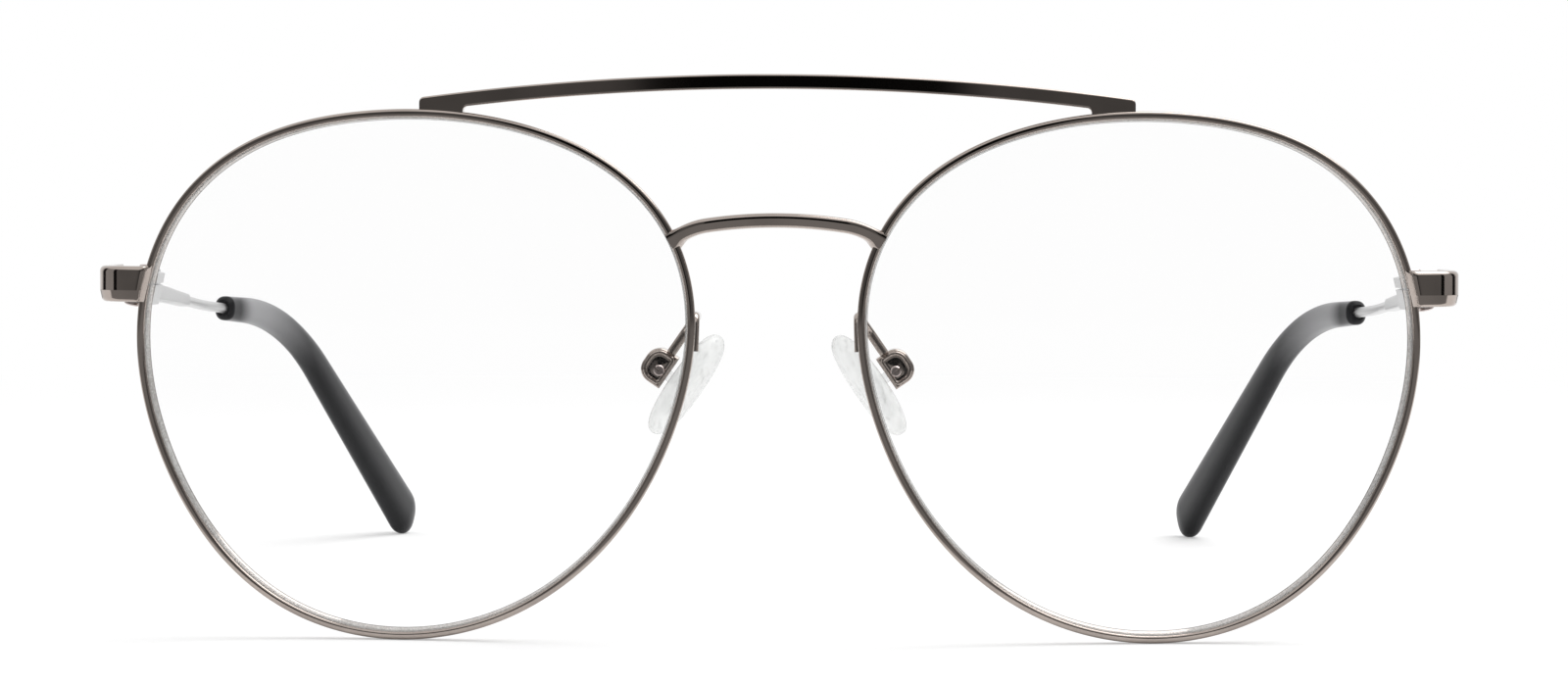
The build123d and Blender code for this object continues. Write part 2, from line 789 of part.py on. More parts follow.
keep_pair("rim", right_rim)
keep_pair("lens", right_lens)
keep_pair("end_piece", right_end_piece)
keep_pair("rim_lock_upper", right_lock_upper)
keep_pair("rim_lock_lower", right_lock_lower)
keep_pair("rim_lock_screw", right_lock_screw)
keep_pair("front_hinge", right_front_hinge)
keep_pair("temple_hinge", right_temple_hinge)
keep_pair("hinge_screw", right_hinge_screw)
keep_pair("temple", right_temple)
keep_pair("temple_tip", right_temple_tip)
keep_pair("pad_arm", right_pad_arm)
keep_pair("pad_box", right_pad_box)
keep_pair("pad_screw", right_pad_screw)
keep_pair("pad_core", right_pad_core)
keep_pair("nose_pad", right_nose_pad)

# Put the middle of the standing glasses over the origin
boxes = [shape.bounding_box() for shape in parts.values()]
front_y = min(box.min.Y for box in boxes)
back_y = max(box.max.Y for box in boxes)
centre_shift = Pos(0, -(front_y + back_y) / 2, 0)

os.makedirs("parts", exist_ok=True)
for name, shape in parts.items():
    export_step(centre_shift * shape, f"parts/{name}.step")

hinge_point = placed(centre_shift, hinge_frame.origin)
print("lock place", lock_place, "panel corner", panel_corner, "frame side", frame_side)
print("hinge point", hinge_point, "axis", hinge_frame.z_dir)
print("pad screw point", placed(centre_shift, pad_turn.position))
print("eye height", eye_height, "tip length", tip_length, "depth", back_y - front_y)
print("lowest", min(box.min.Z for box in boxes), "highest", max(box.max.Z for box in boxes))
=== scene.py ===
"""Looks of the double bridge glasses: every visible piece, its finish, the light and the camera.

Lengths inside the shape functions are in millimetres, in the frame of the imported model: the front
faces -Y, the wearer's right side is at -X and the floor is Z = 0. `solid` turns them into metres.
"""

import json
import math

import bmesh
import bpy
import numpy as np
from mathutils import Euler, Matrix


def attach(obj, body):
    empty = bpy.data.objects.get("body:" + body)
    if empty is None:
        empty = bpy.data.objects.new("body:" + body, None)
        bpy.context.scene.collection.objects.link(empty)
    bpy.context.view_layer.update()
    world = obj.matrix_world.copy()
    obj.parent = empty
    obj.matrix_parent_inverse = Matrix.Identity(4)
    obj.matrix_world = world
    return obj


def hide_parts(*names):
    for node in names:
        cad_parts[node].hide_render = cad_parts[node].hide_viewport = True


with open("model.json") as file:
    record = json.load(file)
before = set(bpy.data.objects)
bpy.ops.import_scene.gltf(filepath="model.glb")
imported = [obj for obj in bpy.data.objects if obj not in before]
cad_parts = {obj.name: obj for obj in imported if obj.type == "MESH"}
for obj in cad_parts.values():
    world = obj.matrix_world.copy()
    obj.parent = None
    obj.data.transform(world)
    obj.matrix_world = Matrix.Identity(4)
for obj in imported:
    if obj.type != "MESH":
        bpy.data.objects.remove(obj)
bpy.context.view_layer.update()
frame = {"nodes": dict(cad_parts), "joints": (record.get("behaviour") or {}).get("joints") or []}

bl_info = {
    "name": "Double bridge glasses",
    "version": (1, 0, 0),
    "blender": (4, 5, 0),
    "location": "View3D > Sidebar > Glasses",
    "description": "Builds the finish, the light and the camera of a pair of metal glasses",
    "category": "Add Mesh",
}

MM = 0.001
SIDES = (("right_", -1), ("left_", 1))
JOINTS = {joint["name"]: joint for joint in frame["joints"]}


# Shader maths


class Term:
    """A socket whose operators add Math nodes to the tree."""

    def __init__(self, nodes, socket):
        self.nodes, self.socket = nodes, socket

    def __add__(self, other):
        return self.nodes.maths("ADD", self, other)

    def __rsub__(self, other):
        return self.nodes.maths("SUBTRACT", other, self)

    def __mul__(self, other):
        return self.nodes.maths("MULTIPLY", self, other)

    def __pow__(self, other):
        return self.nodes.maths("POWER", self, other)

    __radd__ = __add__
    __rmul__ = __mul__

    def clamped(self):
        return self.nodes.maths("ADD", self, 0.0, use_clamp=True)

    def absolute(self):
        return self.nodes.maths("ABSOLUTE", self)

    def most(self, other):
        return self.nodes.maths("MAXIMUM", self, other)

    def ramp(self, low, high, start=0.0, end=1.0):
        """Smooth step from start at low to end at high."""
        settings = {"interpolation_type": "SMOOTHSTEP"}
        inputs = {0: self, 1: low, 2: high, 3: start, 4: end}
        return self.nodes.term("ShaderNodeMapRange", settings, inputs)


class Nodes:
    """The nodes of one material or world."""

    def __init__(self, owner):
        owner.use_nodes = True
        self.tree = owner.node_tree
        self.tree.nodes.clear()

    def node(self, kind, settings=None, inputs=None):
        """Adds a node, sets its settings first and then the values or links of its sockets."""
        made = self.tree.nodes.new(kind)
        for name, value in (settings or {}).items():
            setattr(made, name, value)
        for name, value in (inputs or {}).items():
            if isinstance(value, Term):
                self.tree.links.new(value.socket, made.inputs[name])
            else:
                made.inputs[name].default_value = value
        return made

    def term(self, kind, settings=None, inputs=None, output=0):
        return Term(self, self.node(kind, settings, inputs).outputs[output])

    def maths(self, operation, *values, use_clamp=False):
        settings = {"operation": operation, "use_clamp": use_clamp}
        return self.term("ShaderNodeMath", settings, dict(enumerate(values)))

    def mixed(self, share, low, high):
        """Colour between low and high."""
        settings = {"data_type": "RGBA", "clamp_factor": True}
        return self.term("ShaderNodeMix", settings, {0: share, 6: low, 7: high}, 2)

    def place(self):
        return self.term("ShaderNodeTexCoord", output="Object")

    def split(self, vector):
        made = self.node("ShaderNodeSeparateXYZ", inputs={0: vector})
        return [Term(self, output) for output in made.outputs]

    def noise(self, size, detail=2.0, stretch=(1.0, 1.0, 1.0)):
        """Noise with blotches of about that size in metres, drawn out where stretch is below 1."""
        scaled = self.term("ShaderNodeMapping", None, {0: self.place(), 3: stretch})
        return self.term("ShaderNodeTexNoise", None, {"Vector": scaled, "Scale": 1 / size, "Detail": detail})

    def facing_away(self, blend=0.5):
        """0 where a surface is seen square on, and 1 where it is seen edge on."""
        return self.term("ShaderNodeLayerWeight", None, {"Blend": blend}, 1)

    def bump(self, height, strength, distance):
        inputs = {"Height": height, "Strength": strength, "Distance": distance}
        return self.term("ShaderNodeBump", None, inputs)

    def principled(self, inputs):
        return self.term("ShaderNodeBsdfPrincipled", None, inputs)

    def finish(self, surface, kind="ShaderNodeOutputMaterial"):
        self.node(kind, None, {"Surface": surface})


WHITE = (1.0, 1.0, 1.0, 1.0)


def shade(colour, factor=1.0):
    """Colour with its brightness multiplied, as four channels."""
    return tuple(channel * factor for channel in colour[:3]) + (1.0,)


def new_material(name, build):
    """Material whose nodes one of the functions below makes from the user's colours."""
    material = bpy.data.materials.new(name)
    build(Nodes(material), bpy.context.scene.glasses_colours)
    return material


def gunmetal(nodes, colours):
    """Polished dark metal with a faint cloud in its colour and gloss."""
    cloud = nodes.noise(0.006, 3.0)
    grain = nodes.noise(0.00025)
    share = cloud.ramp(0.3, 0.7)
    nodes.finish(
        nodes.principled(
            {
                "Base Color": nodes.mixed(share, shade(colours.metal, 0.9), shade(colours.metal, 1.1)),
                "Metallic": 1.0,
                "Roughness": 0.05 + cloud * 0.03 + grain * 0.02,
            }
        )
    )


def satin_metal(nodes, colours):
    """Pale brushed metal of the temples, hinges and rim locks."""
    cloud = nodes.noise(0.004, 3.0)
    brushing = nodes.noise(0.0003, stretch=(1.0, 0.05, 1.0))
    nodes.finish(
        nodes.principled(
            {
                "Base Color": nodes.mixed(cloud, shade(colours.satin, 0.9), shade(colours.satin, 1.1)),
                "Metallic": 1.0,
                "Roughness": 0.24 + cloud * 0.08 + brushing * 0.06,
                "Normal": nodes.bump(brushing, 0.05, 0.00001),
            }
        )
    )


def screw_steel(nodes, colours):
    """Pale turned steel with a cloud in its colour and a fine grain."""
    cloud = nodes.noise(0.0006)
    grain = nodes.noise(0.00006)
    nodes.finish(
        nodes.principled(
            {
                "Base Color": nodes.mixed(cloud, shade(colours.steel, 0.85), shade(colours.steel)),
                "Metallic": 1.0,
                "Roughness": 0.22 + grain * 0.15,
                "Normal": nodes.bump(grain, 0.1, 0.00002),
            }
        )
    )


def clear_lens(nodes, colours):
    """Thin clear lens: it mirrors as glass does and lets the rest through."""
    gloss = nodes.facing_away() ** 5.0 + 0.008
    haze = nodes.noise(0.02)
    nodes.finish(
        nodes.principled(
            {
                "Base Color": shade(colours.lens),
                "Metallic": 1.0,
                "Roughness": 0.02 + haze * 0.02,
                "Alpha": (gloss * 0.9 + haze * 0.004).clamped(),
            }
        )
    )


def ground_edge(nodes, colours):
    """Frosted edge of a lens, with pale grinding marks."""
    speckle = nodes.noise(0.0002)
    streak = nodes.noise(0.004)
    share = (speckle * 0.6 + streak * 0.4).ramp(0.35, 0.65)
    nodes.finish(
        nodes.principled(
            {
                "Base Color": nodes.mixed(share, (0.9, 0.91, 0.9, 1.0), (0.98, 0.99, 0.98, 1.0)),
                "Roughness": 0.55 - share * 0.2,
                "Alpha": 0.35 + share * 0.2,
                "Normal": nodes.bump(speckle, 0.4, 0.00005),
            }
        )
    )


def edge_line(nodes, colours):
    """Narrow polished bevel of a lens's edge, painted dark grey as shade, so that it looks darker than the
    rest.
    """
    cloud = nodes.noise(0.003)
    nodes.finish(
        nodes.principled(
            {
                # painted shade: dark grey colour on the clear polished bevel
                "Base Color": nodes.mixed(cloud, (0.12, 0.12, 0.12, 1.0), (0.3, 0.3, 0.29, 1.0)),
                "Roughness": 0.3 + cloud * 0.2,
                "Alpha": 0.6 + cloud * 0.2,
            }
        )
    )


def black_acetate(nodes, colours):
    """Satin black plastic with a faint mottle. Its colour has a painted grey reflection behind its mouth,
    which fades along the bend, and a painted sheen where it is seen edge on."""
    mottle = nodes.noise(0.003, 3.0)
    grain = nodes.noise(0.00012)
    x, y, z = nodes.split(nodes.place())
    # painted reflection: lighter base colour behind the mouth, fading along the bend
    painted_bend_reflection = y.ramp(0.0135, 0.0185) * y.ramp(0.0185, 0.037, 0.55, 0.0)
    # painted sheen: lighter base colour where the surface is seen edge on, joined with the painted reflection
    painted_sheen = (nodes.facing_away() ** 6.0).most(painted_bend_reflection)
    body = nodes.mixed(mottle, shade(colours.tip, 0.8), shade(colours.tip, 1.2))
    nodes.finish(
        nodes.principled(
            {
                # the grey here is the colour of the painted sheen and reflection
                "Base Color": nodes.mixed(painted_sheen, body, (0.5, 0.5, 0.51, 1.0)),
                "Roughness": 0.32 + mottle * 0.08 + grain * 0.04,
                "Specular IOR Level": 0.06,
                "Normal": nodes.bump(grain, 0.08, 0.00002),
            }
        )
    )


def clear_silicone(nodes, colours):
    """Clear soft plastic: milky and denser where it is seen edge on, with painted grey shade there, and fine
    streaks.
    """
    haze = nodes.noise(0.0015, 3.0)
    streak = nodes.noise(0.0005, stretch=(1.0, 1.0, 0.15)).ramp(0.56, 0.66)
    # painted shade: the pad is drawn greyer where it is seen edge on
    rim = nodes.facing_away() ** 4.0
    # painted edge shade, added to the streaks and haze, darkens the base colour
    painted_edge_shade_and_streaks = (rim + streak * 0.5 + haze * 0.1).clamped()
    nodes.finish(
        nodes.principled(
            {
                "Base Color": nodes.mixed(painted_edge_shade_and_streaks, shade(colours.pad), (0.42, 0.43, 0.42, 1.0)),
                "Roughness": 0.1 + haze * 0.1,
                "Alpha": (0.35 + rim * 0.5 + streak * 0.2 + haze * 0.1).clamped(),
            }
        )
    )


def clear_core(nodes, colours):
    """Harder clear plastic inside the pad, seen mostly by its outline, which is painted grey as shade where
    it is seen edge on.
    """
    haze = nodes.noise(0.001, 3.0)
    # painted shade: the core is drawn grey where it is seen edge on
    rim = nodes.facing_away(0.3) ** 2.0
    nodes.finish(
        nodes.principled(
            {
                "Base Color": nodes.mixed(rim, (0.93, 0.95, 0.95, 1.0), (0.4, 0.42, 0.42, 1.0)),
                "Roughness": 0.1 + haze * 0.1,
                "Alpha": (0.12 + rim * 0.5 + haze * 0.08).clamped(),
            }
        )
    )


FINISHES = {
    "gunmetal": gunmetal,
    "satin_metal": satin_metal,
    "screw_steel": screw_steel,
    "clear_lens": clear_lens,
    "ground_edge": ground_edge,
    "edge_line": edge_line,
    "black_acetate": black_acetate,
    "clear_silicone": clear_silicone,
    "clear_core": clear_core,
}


def finish_named(name):
    """The finish's material, made the first time it is asked for."""
    return bpy.data.materials.get("finish_" + name) or new_material("finish_" + name, FINISHES[name])


# Stage

FLOOR_HALF = 3000.0
FLOOR_NEAR_LEVEL = 0.3
TOP_LEVEL = 1.05
DIFFUSE_LEVEL = 0.85


def studio_level(nodes, x, y):
    """Brightness of the studio by direction round the glasses: a dark front with a black gap behind
    the camera, and paler boxes at the sides and the back with dark frames."""
    turn = nodes.maths("ARCTAN2", x.absolute(), y * -1.0) * (180 / math.pi)
    front = turn.ramp(6.0, 8.0, 0.004, 0.12) + turn.ramp(20.0, 48.0, 0.0, 0.06)
    frames = turn.ramp(50.0, 51.5) * turn.ramp(62.0, 63.5, 1.0, 0.0)
    frames = frames + turn.ramp(98.0, 100.0) * turn.ramp(114.0, 117.0, 1.0, 0.0)
    box = turn.ramp(54.0, 60.0, 0.0, 0.26) + turn.ramp(114.0, 130.0, 0.0, 0.55)
    return (front + box) * (1.0 - frames * 0.97)


def paint_world(nodes):
    """The studio with a bright top. Camera and see-through rays get white."""
    direction = nodes.term("ShaderNodeTexCoord", output="Generated")
    x, y, z = nodes.split(direction)
    level = studio_level(nodes, x, y)
    top = (nodes.maths("ARCSINE", z) * (180 / math.pi)).ramp(24.0, 40.0)
    level = level * (1.0 - top) + top * TOP_LEVEL
    path = nodes.node("ShaderNodeLightPath")
    seen = Term(nodes, path.outputs["Is Camera Ray"]).most(Term(nodes, path.outputs["Is Transmission Ray"]))
    diffuse = Term(nodes, path.outputs["Is Diffuse Ray"])
    level = level * (1.0 - diffuse) + diffuse * DIFFUSE_LEVEL
    strength = level * (1.0 - seen) + seen
    nodes.finish(
        nodes.term("ShaderNodeBackground", None, {"Color": WHITE, "Strength": strength}),
        "ShaderNodeOutputWorld",
    )


def paint_floor(nodes, colours):
    """White sheet: partly its own white, so that shadows stay soft. Mirrors see the studio in it
    instead, and a mid grey near the front of the glasses."""
    x, y, z = nodes.split(nodes.place())
    reach = nodes.maths("SQRT", x * x + y * y)
    path = nodes.node("ShaderNodeLightPath")
    camera = Term(nodes, path.outputs["Is Camera Ray"])
    glossy = Term(nodes, path.outputs["Is Glossy Ray"])
    through = Term(nodes, path.outputs["Is Transmission Ray"])
    fleck = nodes.noise(0.004)
    paper = nodes.mixed(fleck, (0.9, 0.9, 0.9, 1.0), (0.93, 0.93, 0.93, 1.0))
    sheet = nodes.principled({"Base Color": paper, "Roughness": 0.9, "Specular IOR Level": 0.1})
    glow = nodes.term("ShaderNodeEmission", None, {"Color": WHITE, "Strength": 1.0})
    far = reach.ramp(0.35, 0.5)
    level = studio_level(nodes, x, y) * far + (1.0 - far) * FLOOR_NEAR_LEVEL
    dim = nodes.term("ShaderNodeEmission", None, {"Color": WHITE, "Strength": level})
    own = (reach.ramp(0.1, 0.5, 0.35, 1.0) * camera.most(through)).clamped()
    lit = nodes.term("ShaderNodeMixShader", None, {0: own, 1: sheet, 2: glow})
    mirrored_part = (y.ramp(-0.085, -0.072, 1.0, 0.0).most(reach.ramp(0.2, 0.35)) * glossy).clamped()
    nodes.finish(nodes.term("ShaderNodeMixShader", None, {0: mirrored_part, 1: lit, 2: dim}))


def add_stage():
    """White floor, studio all round, one large lamp above and the photograph's camera."""
    scene = bpy.context.scene
    scene.view_settings.view_transform = "Standard"
    world = bpy.data.worlds.new("studio")
    paint_world(Nodes(world))
    scene.world = world

    span = np.linspace(-1.0, 1.0, 3) * FLOOR_HALF
    x, y = np.meshgrid(span, span)
    floor = solid("floor", [Sheet(np.stack([x, y, x * 0], axis=2))], new_material("floor", paint_floor))

    lamp = bpy.data.lights.new("key", "AREA")
    lamp.shape, lamp.size, lamp.energy = "DISK", 0.6, 3.0
    key = bpy.data.objects.new("key", lamp)
    key.location = (0.3, 0.05, 0.62)
    key.rotation_euler = (-key.location).to_track_quat("-Z", "Y").to_euler()
    scene.collection.objects.link(key)

    view = bpy.data.cameras.new("camera")
    view.sensor_width = 36.0
    view.lens = 102.7
    view.clip_start, view.clip_end = 0.01, 20.0
    camera = bpy.data.objects.new("camera", view)
    camera.location = (0.00835, -0.5040, 0.0474)
    camera.rotation_euler = Euler((math.radians(87.7), math.radians(-0.2), math.radians(1.0)))
    scene.collection.objects.link(camera)
    scene.camera = camera


# Meshes from parameter grids


class Sheet:
    """A grid of points (rows, columns, 3) that may close along either way or end in flat caps."""

    def __init__(self, points, close_rows=False, close_columns=False, caps=False, finish=0):
        self.points = np.asarray(points, float)
        self.close_rows, self.close_columns = close_rows, close_columns
        self.caps, self.finish = caps, finish

    def faces(self, first):
        rows, columns = self.points.shape[:2]
        index = np.arange(rows * columns).reshape(rows, columns) + first
        if self.close_rows:
            index = np.vstack([index, index[:1]])
        if self.close_columns:
            index = np.hstack([index, index[:, :1]])
        quads = np.stack([index[:-1, :-1], index[1:, :-1], index[1:, 1:], index[:-1, 1:]], axis=2)
        faces = quads.reshape(-1, 4).tolist()
        if self.caps:
            ring = np.arange(columns)
            faces.append((ring + first).tolist())
            faces.append((ring[::-1] + first + (rows - 1) * columns).tolist())
        return faces


def solid(name, sheets, *materials, crease=40.0):
    """Mesh object from grids in millimetres, smooth except across edges sharper than crease."""
    points, faces, finishes = [], [], []
    first = 0
    for sheet in sheets:
        points.append(sheet.points.reshape(-1, 3))
        added = sheet.faces(first)
        faces.extend(added)
        finishes.extend([sheet.finish] * len(added))
        first += sheet.points.shape[0] * sheet.points.shape[1]
    mesh = bpy.data.meshes.new(name)
    mesh.from_pydata((np.concatenate(points) * MM).tolist(), [], faces)
    mesh.polygons.foreach_set("material_index", np.array(finishes, np.int32))
    shell = bmesh.new()
    shell.from_mesh(mesh)
    bmesh.ops.remove_doubles(shell, verts=shell.verts, dist=1e-7)
    bmesh.ops.recalc_face_normals(shell, faces=shell.faces)
    shell.to_mesh(mesh)
    shell.free()
    mesh.shade_smooth()
    mesh.set_sharp_from_angle(angle=math.radians(crease))
    for material in materials:
        mesh.materials.append(material)
    made = bpy.data.objects.new(name, mesh)
    bpy.context.scene.collection.objects.link(made)
    return made


def keep(piece, body, slot, *nodes):
    """Says what the piece rides on and which CAD nodes it stands for, and hides those. The slot is not used.
    """
    if nodes:
        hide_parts(*nodes)
    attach(piece, body)


def carried(finish, *names):
    """Gives CAD nodes of the frame their finish."""
    for name in names:
        node = frame["nodes"][name]
        node.data.materials.clear()
        node.data.materials.append(finish_named(finish))


# Shape of the lenses and of what follows them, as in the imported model's own source

OUTLINE_COSINES = (-0.0298, 0.0235, 0.0066, -0.0118, -0.0011, -0.0013, -0.0012)
OUTLINE_SINES = (0.0369, 0.0170, 0.0387, 0.0002, 0.0029, 0.0005, -0.0006)
LENS_CURVE = 132.0
NOSE_GAP = 17.3
WRAP = math.radians(-5.0)
LEAN = math.radians(4.0)
EYE_HEIGHT = 26.177
LOCK_ANGLE = math.radians(162.3)
HALF_RIM = 0.95
RIM_INNER = -0.4
RIM_OUTER = 0.4
CROWN_POWER = 0.8
CROWN_OUTER = 0.5
CROWN_INNER = 0.62
SPLIT_HALF = 0.1
BEVEL_HEIGHT = 0.45
BEVEL_HALF = 0.58
LENS_BEVEL_HALF = 0.42
LENS_CHAMFER = 0.06
LENS_CLEARANCE = 0.03
ROUTE_ARC_STEPS = 49
SUPPORT = 0.03
UPWARD = np.array([0.0, 0.0, 1.0])
PAD_DEPTH = 8.6
FRONT_SHIFT = JOINTS["right_pad_rock"]["pos_m"][1] / MM - PAD_DEPTH


def unit(vectors):
    """Vectors divided by their lengths."""
    return vectors / np.linalg.norm(vectors, axis=-1, keepdims=True)


def mirrored(points, sign):
    """Points of the wearer's right side, or their mirror image in X = 0 for sign +1."""
    return points * np.array([-sign, 1.0, 1.0])


def outline(angles, sizes):
    """Lens outline seen from the front: radius 1 + sum of c cos(k a) + s sin(k a), then stretched
    to the lens width and height about the middle of its box."""

    def raw(a):
        radius = np.ones_like(a)
        for order, (cosine, sine) in enumerate(zip(OUTLINE_COSINES, OUTLINE_SINES), start=1):
            radius = radius + cosine * np.cos(order * a) + sine * np.sin(order * a)
        return np.stack([radius * np.cos(a), radius * np.sin(a)], axis=-1)

    whole = raw(np.linspace(0, 2 * np.pi, 1441))
    low, high = whole.min(axis=0), whole.max(axis=0)
    stretch = np.array([sizes.lens_width / MM, sizes.lens_height / MM])
    return (raw(np.asarray(angles, float)) - (low + high) / 2) / (high - low) * stretch


def signed_power(values, power):
    """Power of the size of a value, with the value's sign."""
    return np.sign(values) * np.abs(values) ** power


def on_sphere(flat, extra=0.0):
    """Lifts points seen from the front onto the lens's sphere, or one larger by extra."""
    x, z = flat[..., 0], flat[..., 1]
    y = LENS_CURVE - np.sqrt((LENS_CURVE + extra) ** 2 - x * x - z * z)
    return np.stack([x, y, z], axis=-1)


def edge_frame(angles, sizes):
    """Point on the lens's edge line, direction outwards and direction forwards at each angle."""
    step = 1e-3
    point = on_sphere(outline(angles, sizes))
    ahead = on_sphere(outline(np.asarray(angles) + step, sizes))
    forward = unit(point - np.array([0.0, LENS_CURVE, 0.0]))
    tangent = unit(ahead - point)
    outward = np.cross(tangent, forward)
    outward *= np.sign(np.sum(outward * point, axis=-1, keepdims=True))
    return point, unit(outward), forward


def around_edge(profile, angles, sizes):
    """Carries a profile of (outwards, forwards) pairs round the lens's edge."""
    point, outward, forward = edge_frame(angles, sizes)
    profile = np.asarray(profile, float)
    return (
        point[:, None]
        + profile[None, :, 0, None] * outward[:, None]
        + profile[None, :, 1, None] * forward[:, None]
    )


def eye_place(points, sizes, turn_only=False):
    """Lens frame to model frame, wearer's right side: wrap about Z, shift out, lean about X."""
    spread = NOSE_GAP / 2 + sizes.lens_width / MM / 2 * math.cos(WRAP)
    x = points[..., 0] * math.cos(WRAP) - points[..., 1] * math.sin(WRAP)
    y = points[..., 0] * math.sin(WRAP) + points[..., 1] * math.cos(WRAP)
    z = points[..., 2]
    if not turn_only:
        x = x - spread
    leaned = [x, y * math.cos(LEAN) - z * math.sin(LEAN), y * math.sin(LEAN) + z * math.cos(LEAN)]
    if not turn_only:
        leaned[1] = leaned[1] + FRONT_SHIFT
        leaned[2] = leaned[2] + EYE_HEIGHT
    return np.stack(leaned, axis=-1)


def lens_sheets(sizes, sign):
    """Two caps of spheres from the middle to the edge, and the bevelled edge ring between them."""
    half = sizes.lens_thickness / MM / 2
    angles = np.linspace(0, 2 * np.pi, 480, endpoint=False)
    ring = around_edge(
        [
            (-BEVEL_HEIGHT - LENS_CHAMFER, half),
            (-BEVEL_HEIGHT, half - LENS_CHAMFER),
            (-BEVEL_HEIGHT, LENS_BEVEL_HALF),
            (-LENS_CLEARANCE, 0.0),
            (-BEVEL_HEIGHT, -LENS_BEVEL_HALF),
            (-BEVEL_HEIGHT, LENS_CHAMFER - half),
            (-BEVEL_HEIGHT - LENS_CHAMFER, -half),
        ],
        angles,
        sizes,
    )
    sheets = [
        Sheet(ring[:, 1:-1], close_rows=True, finish=1),
        Sheet(ring[:, :2], close_rows=True, finish=2),
        Sheet(ring[:, -2:], close_rows=True, finish=2),
    ]
    shares = np.linspace(0.0, 1.0, 25) ** 0.8
    for border, offset in ((ring[:, 0], half), (ring[:, -1], -half)):
        flat = border[None, :, [0, 2]] * shares[:, None, None]
        cap = on_sphere(flat, offset)
        slip = border[:, 1] - on_sphere(border[:, [0, 2]], offset)[:, 1]
        cap[..., 1] += shares[:, None] ** 2 * slip[None]
        sheets.append(Sheet(cap, close_columns=True))
    for sheet in sheets:
        sheet.points = mirrored(eye_place(sheet.points, sizes), sign)
    return sheets


def rim_sheets(sizes, sign):
    """Grooved wire with crowned front and back, carried round the lens and split at the lock. The
    crowns are half superellipses, and the groove follows the lens's bevel."""
    turn = np.linspace(0, np.pi, 29)
    across = RIM_OUTER * signed_power(np.cos(turn), CROWN_POWER)
    corner = np.where(turn < np.pi / 2, CROWN_OUTER, CROWN_INNER)
    height = corner + (HALF_RIM - corner) * signed_power(np.sin(turn), CROWN_POWER)
    crown = np.stack([across, height], axis=1)
    groove = [(RIM_INNER, BEVEL_HALF), (RIM_INNER + BEVEL_HEIGHT, 0.0), (RIM_INNER, -BEVEL_HALF)]
    profile = np.concatenate([crown, groove, crown[::-1] * (1, -1)])
    half_gap = SPLIT_HALF / np.linalg.norm(outline([LOCK_ANGLE], sizes))
    angles = np.linspace(LOCK_ANGLE + half_gap, LOCK_ANGLE + 2 * np.pi - half_gap, 720)
    grid = eye_place(around_edge(profile, angles, sizes), sizes)
    return [Sheet(mirrored(grid, sign), close_columns=True, caps=True)]


def corner_arc(before, corner, after, radius, steps):
    """Tangent arc that rounds a corner, and the directions of its two sides away from the corner."""
    back, on = unit(before - corner), unit(after - corner)
    half = 0.5 * math.acos(float(back @ on))
    centre = corner + unit(back + on) * radius / math.sin(half)
    first = unit(corner + back * radius / math.tan(half) - centre)
    last = unit(corner + on * radius / math.tan(half) - centre)
    square = unit(last - first * float(first @ last))
    turn = np.linspace(0, math.pi - 2 * half, steps)[:, None]
    return centre + radius * (np.cos(turn) * first + np.sin(turn) * square), back, on


def rounded_route(corners, radii, count):
    """Points evenly spaced along straight runs whose corners are rounded, and their whole length."""
    corners = np.asarray(corners, float)
    rounded = zip(corners[:-2], corners[1:-1], corners[2:], radii)
    arcs = [corner_arc(*corner, ROUTE_ARC_STEPS)[0] for corner in rounded]
    dense = np.concatenate([corners[:1], *arcs, corners[-1:]])
    length = np.concatenate([[0.0], np.cumsum(np.linalg.norm(np.diff(dense, axis=0), axis=1))])
    marks = np.linspace(0.0, length[-1], count)
    route = np.stack([np.interp(marks, length, dense[:, axis]) for axis in range(3)], axis=1)
    return route, length[-1]


def swept(points, profiles, upward):
    """Carries profiles of (across, up) pairs along points; across is square to upward."""
    tangent = unit(np.gradient(points, axis=0))
    across = unit(np.cross(tangent, upward))
    rise = np.cross(across, tangent)
    profiles = np.broadcast_to(profiles, (len(points),) + np.shape(profiles)[-2:])
    return (
        points[:, None]
        + profiles[..., 0, None] * across[:, None]
        + profiles[..., 1, None] * rise[:, None]
    )


def rounded_outline(corners, radii, steps=6):
    """Closed polygon of (x, y) corners, each rounded by its own radius. An extra point just past
    each end of an arc keeps the flat sides flat when they are shaded smooth."""
    corners = np.asarray(corners, float)
    arcs = []
    for before, corner, after, radius in zip(np.roll(corners, 1, 0), corners, np.roll(corners, -1, 0), radii):
        arc, back, on = corner_arc(before, corner, after, radius, steps)
        arcs.extend([arc[:1] + back * SUPPORT, arc, arc[-1:] + on * SUPPORT])
    return np.concatenate(arcs)


# Brow bar and bridge

BAR_HEIGHT = 1.45
BAR_DEPTH = 1.7
BAR_EDGE = 0.2
BAR_RISE = 3.34
BAR_SAG = 2.35
BAR_BOW = 1.6
BAR_END_INSET = 0.9
FOOT_WIDTH = 4.3
NOTCH = 0.42
BAR_TOP_RADIUS = 0.4
BAR_END_RADIUS = 0.45
BAR_OVER_RIM = 0.1
BRIDGE_HEIGHT = 1.45
BRIDGE_DEPTH = 1.7
BRIDGE_RISE = 15.45
BRIDGE_BOW = 1.1
BRIDGE_BEND = 5.0
BRIDGE_ARCH = 0.2
BRIDGE_ARCH_RADIUS = 45.0
BRIDGE_LEAN = 0.14
BRIDGE_POWER = 0.65
BRIDGE_END = 1.9
BRIDGE_SHOULDER = -0.3
BRIDGE_DROP = 1.1
BRIDGE_SWELL = 0.45
BRIDGE_SWELL_LENGTH = 0.75
BRIDGE_POINTS = 2001
BRIDGE_STEP = 8


def quarter_drop(distance, radius):
    """How far a rounded corner has drawn back at a distance from its end."""
    inside = np.clip(radius - distance, 0.0, radius)
    return radius - np.sqrt(radius * radius - inside * inside)


